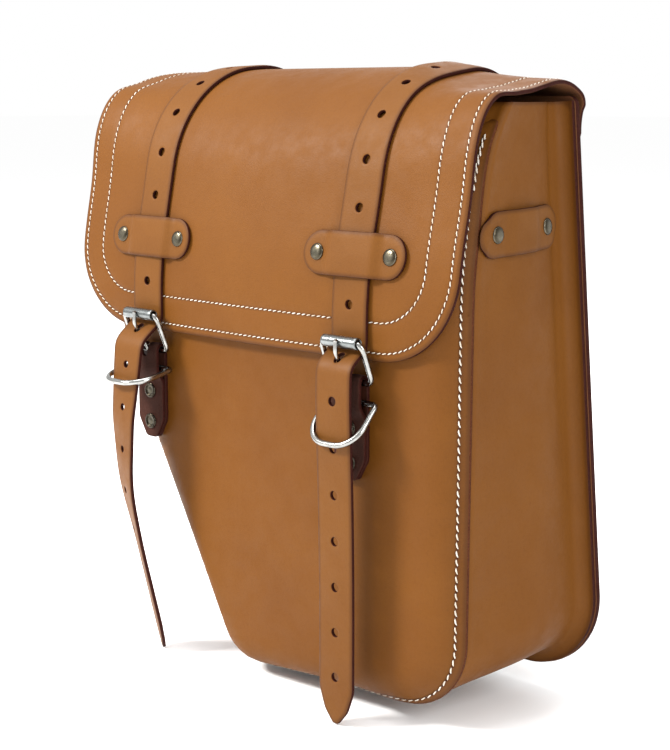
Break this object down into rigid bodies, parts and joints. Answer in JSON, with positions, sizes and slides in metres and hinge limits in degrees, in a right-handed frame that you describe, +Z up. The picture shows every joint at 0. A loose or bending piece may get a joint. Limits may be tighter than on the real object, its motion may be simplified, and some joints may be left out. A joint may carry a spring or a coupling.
{
  "type": "motorcycle saddlebag",
  "caption": "Leather motorcycle saddlebag with a cut-away lower corner, a fold-over lid and buckled closing straps; it straps to the frame through slots behind.",
  "frame": {"origin": "centre of the four strap slots, on the rear face of the back panel", "axes": "+X along the bag with the cut-away corner at -X, +Y out of the back panel towards the motorcycle, +Z up"},
  "size_m": [0.3833, 0.1837, 0.4341],
  "materials": {
    "tan_leather": "smooth vegetable-tanned, satin",
    "dark_leather": "smooth, darkened",
    "raw_edge": "dyed raw edge",
    "thread": "waxed off-white thread",
    "bright_nickel": "polished nickel",
    "antique_metal": "antique, dark in the hollows"
  },
  "bodies": {
    "bag": {"back_panel": "tan_leather", "front_panel": "tan_leather", "gusset": "tan_leather", "lid_rear_flap": "tan_leather", "chape_rivets": "antique_metal", "strap_anchor_rivets": "antique_metal", "side_keeper_rivets": "antique_metal", "chape_left": "dark_leather", "side_keeper_left": "tan_leather", "strap_anchor_left": "tan_leather", "chape_right": "dark_leather", "side_keeper_right": "tan_leather", "strap_anchor_right": "tan_leather"},
    "lid": {"lid": "tan_leather", "lid_keeper_rivets": "antique_metal", "lid_keeper_left": "tan_leather", "strap_front_left": "tan_leather", "lid_keeper_right": "tan_leather", "strap_front_right": "tan_leather"},
    "strap_tail_left": {"strap_tail_left": "tan_leather"},
    "buckle_left": {"buckle_frame_left": "bright_nickel"},
    "roller_left": {"buckle_roller_left": "bright_nickel"},
    "prong_left": {"buckle_prong_left": "bright_nickel"},
    "ring_left": {"d_ring_left": "bright_nickel"},
    "strap_tail_right": {"strap_tail_right": "tan_leather"},
    "buckle_right": {"buckle_frame_right": "bright_nickel"},
    "roller_right": {"buckle_roller_right": "bright_nickel"},
    "prong_right": {"buckle_prong_right": "bright_nickel"},
    "ring_right": {"d_ring_right": "bright_nickel"}
  },
  "joints": [
    {"name": "lid_hinge", "type": "hinge", "parent": "bag", "child": "lid", "pos_m": [0, -0.01, 0.1525], "axis": [-1, 0, 0], "range_deg": [0, 100]},
    {"name": "strap_bend_left", "type": "hinge", "parent": "lid", "child": "strap_tail_left", "pos_m": [-0.099, -0.1397, -0.016], "axis": [-1, 0, 0], "range_deg": [-100, 0], "deforming": ["strap_tail_left"]},
    {"name": "buckle_swing_left", "type": "hinge", "parent": "bag", "child": "buckle_left", "pos_m": [-0.099, -0.1365, -0.05], "axis": [1, 0, 0], "range_deg": [0, 40]},
    {"name": "roller_spin_left", "type": "hinge", "parent": "buckle_left", "child": "roller_left", "pos_m": [-0.099, -0.1475, -0.023], "axis": [1, 0, 0], "continuous": true},
    {"name": "prong_swing_left", "type": "hinge", "parent": "buckle_left", "child": "prong_left", "pos_m": [-0.099, -0.1365, -0.05], "axis": [1, 0, 0], "range_deg": [0, 25]},
    {"name": "ring_swing_left", "type": "hinge", "parent": "bag", "child": "ring_left", "pos_m": [-0.099, -0.1365, -0.063], "axis": [-1, 0, 0], "range_deg": [0, 20]},
    {"name": "strap_bend_right", "type": "hinge", "parent": "lid", "child": "strap_tail_right", "pos_m": [0.099, -0.1397, -0.016], "axis": [-1, 0, 0], "range_deg": [-100, 0], "deforming": ["strap_tail_right"]},
    {"name": "buckle_swing_right", "type": "hinge", "parent": "bag", "child": "buckle_right", "pos_m": [0.099, -0.1365, -0.05], "axis": [1, 0, 0], "range_deg": [0, 40]},
    {"name": "roller_spin_right", "type": "hinge", "parent": "buckle_right", "child": "roller_right", "pos_m": [0.099, -0.1475, -0.023], "axis": [1, 0, 0], "continuous": true},
    {"name": "prong_swing_right", "type": "hinge", "parent": "buckle_right", "child": "prong_right", "pos_m": [0.099, -0.1365, -0.05], "axis": [1, 0, 0], "range_deg": [0, 25]},
    {"name": "ring_swing_right", "type": "hinge", "parent": "bag", "child": "ring_right", "pos_m": [0.099, -0.1365, -0.063], "axis": [-1, 0, 0], "range_deg": [0, 55]}
  ],
  "couplings": [
    {"joint": "strap_bend_left", "follows": "lid_hinge", "ratio": -1},
    {"joint": "buckle_swing_left", "follows": "lid_hinge", "ratio": 0.4},
    {"joint": "prong_swing_left", "follows": "lid_hinge", "ratio": 0.25},
    {"joint": "strap_bend_right", "follows": "lid_hinge", "ratio": -1},
    {"joint": "buckle_swing_right", "follows": "lid_hinge", "ratio": 0.4},
    {"joint": "prong_swing_right", "follows": "lid_hinge", "ratio": 0.25}
  ]
}
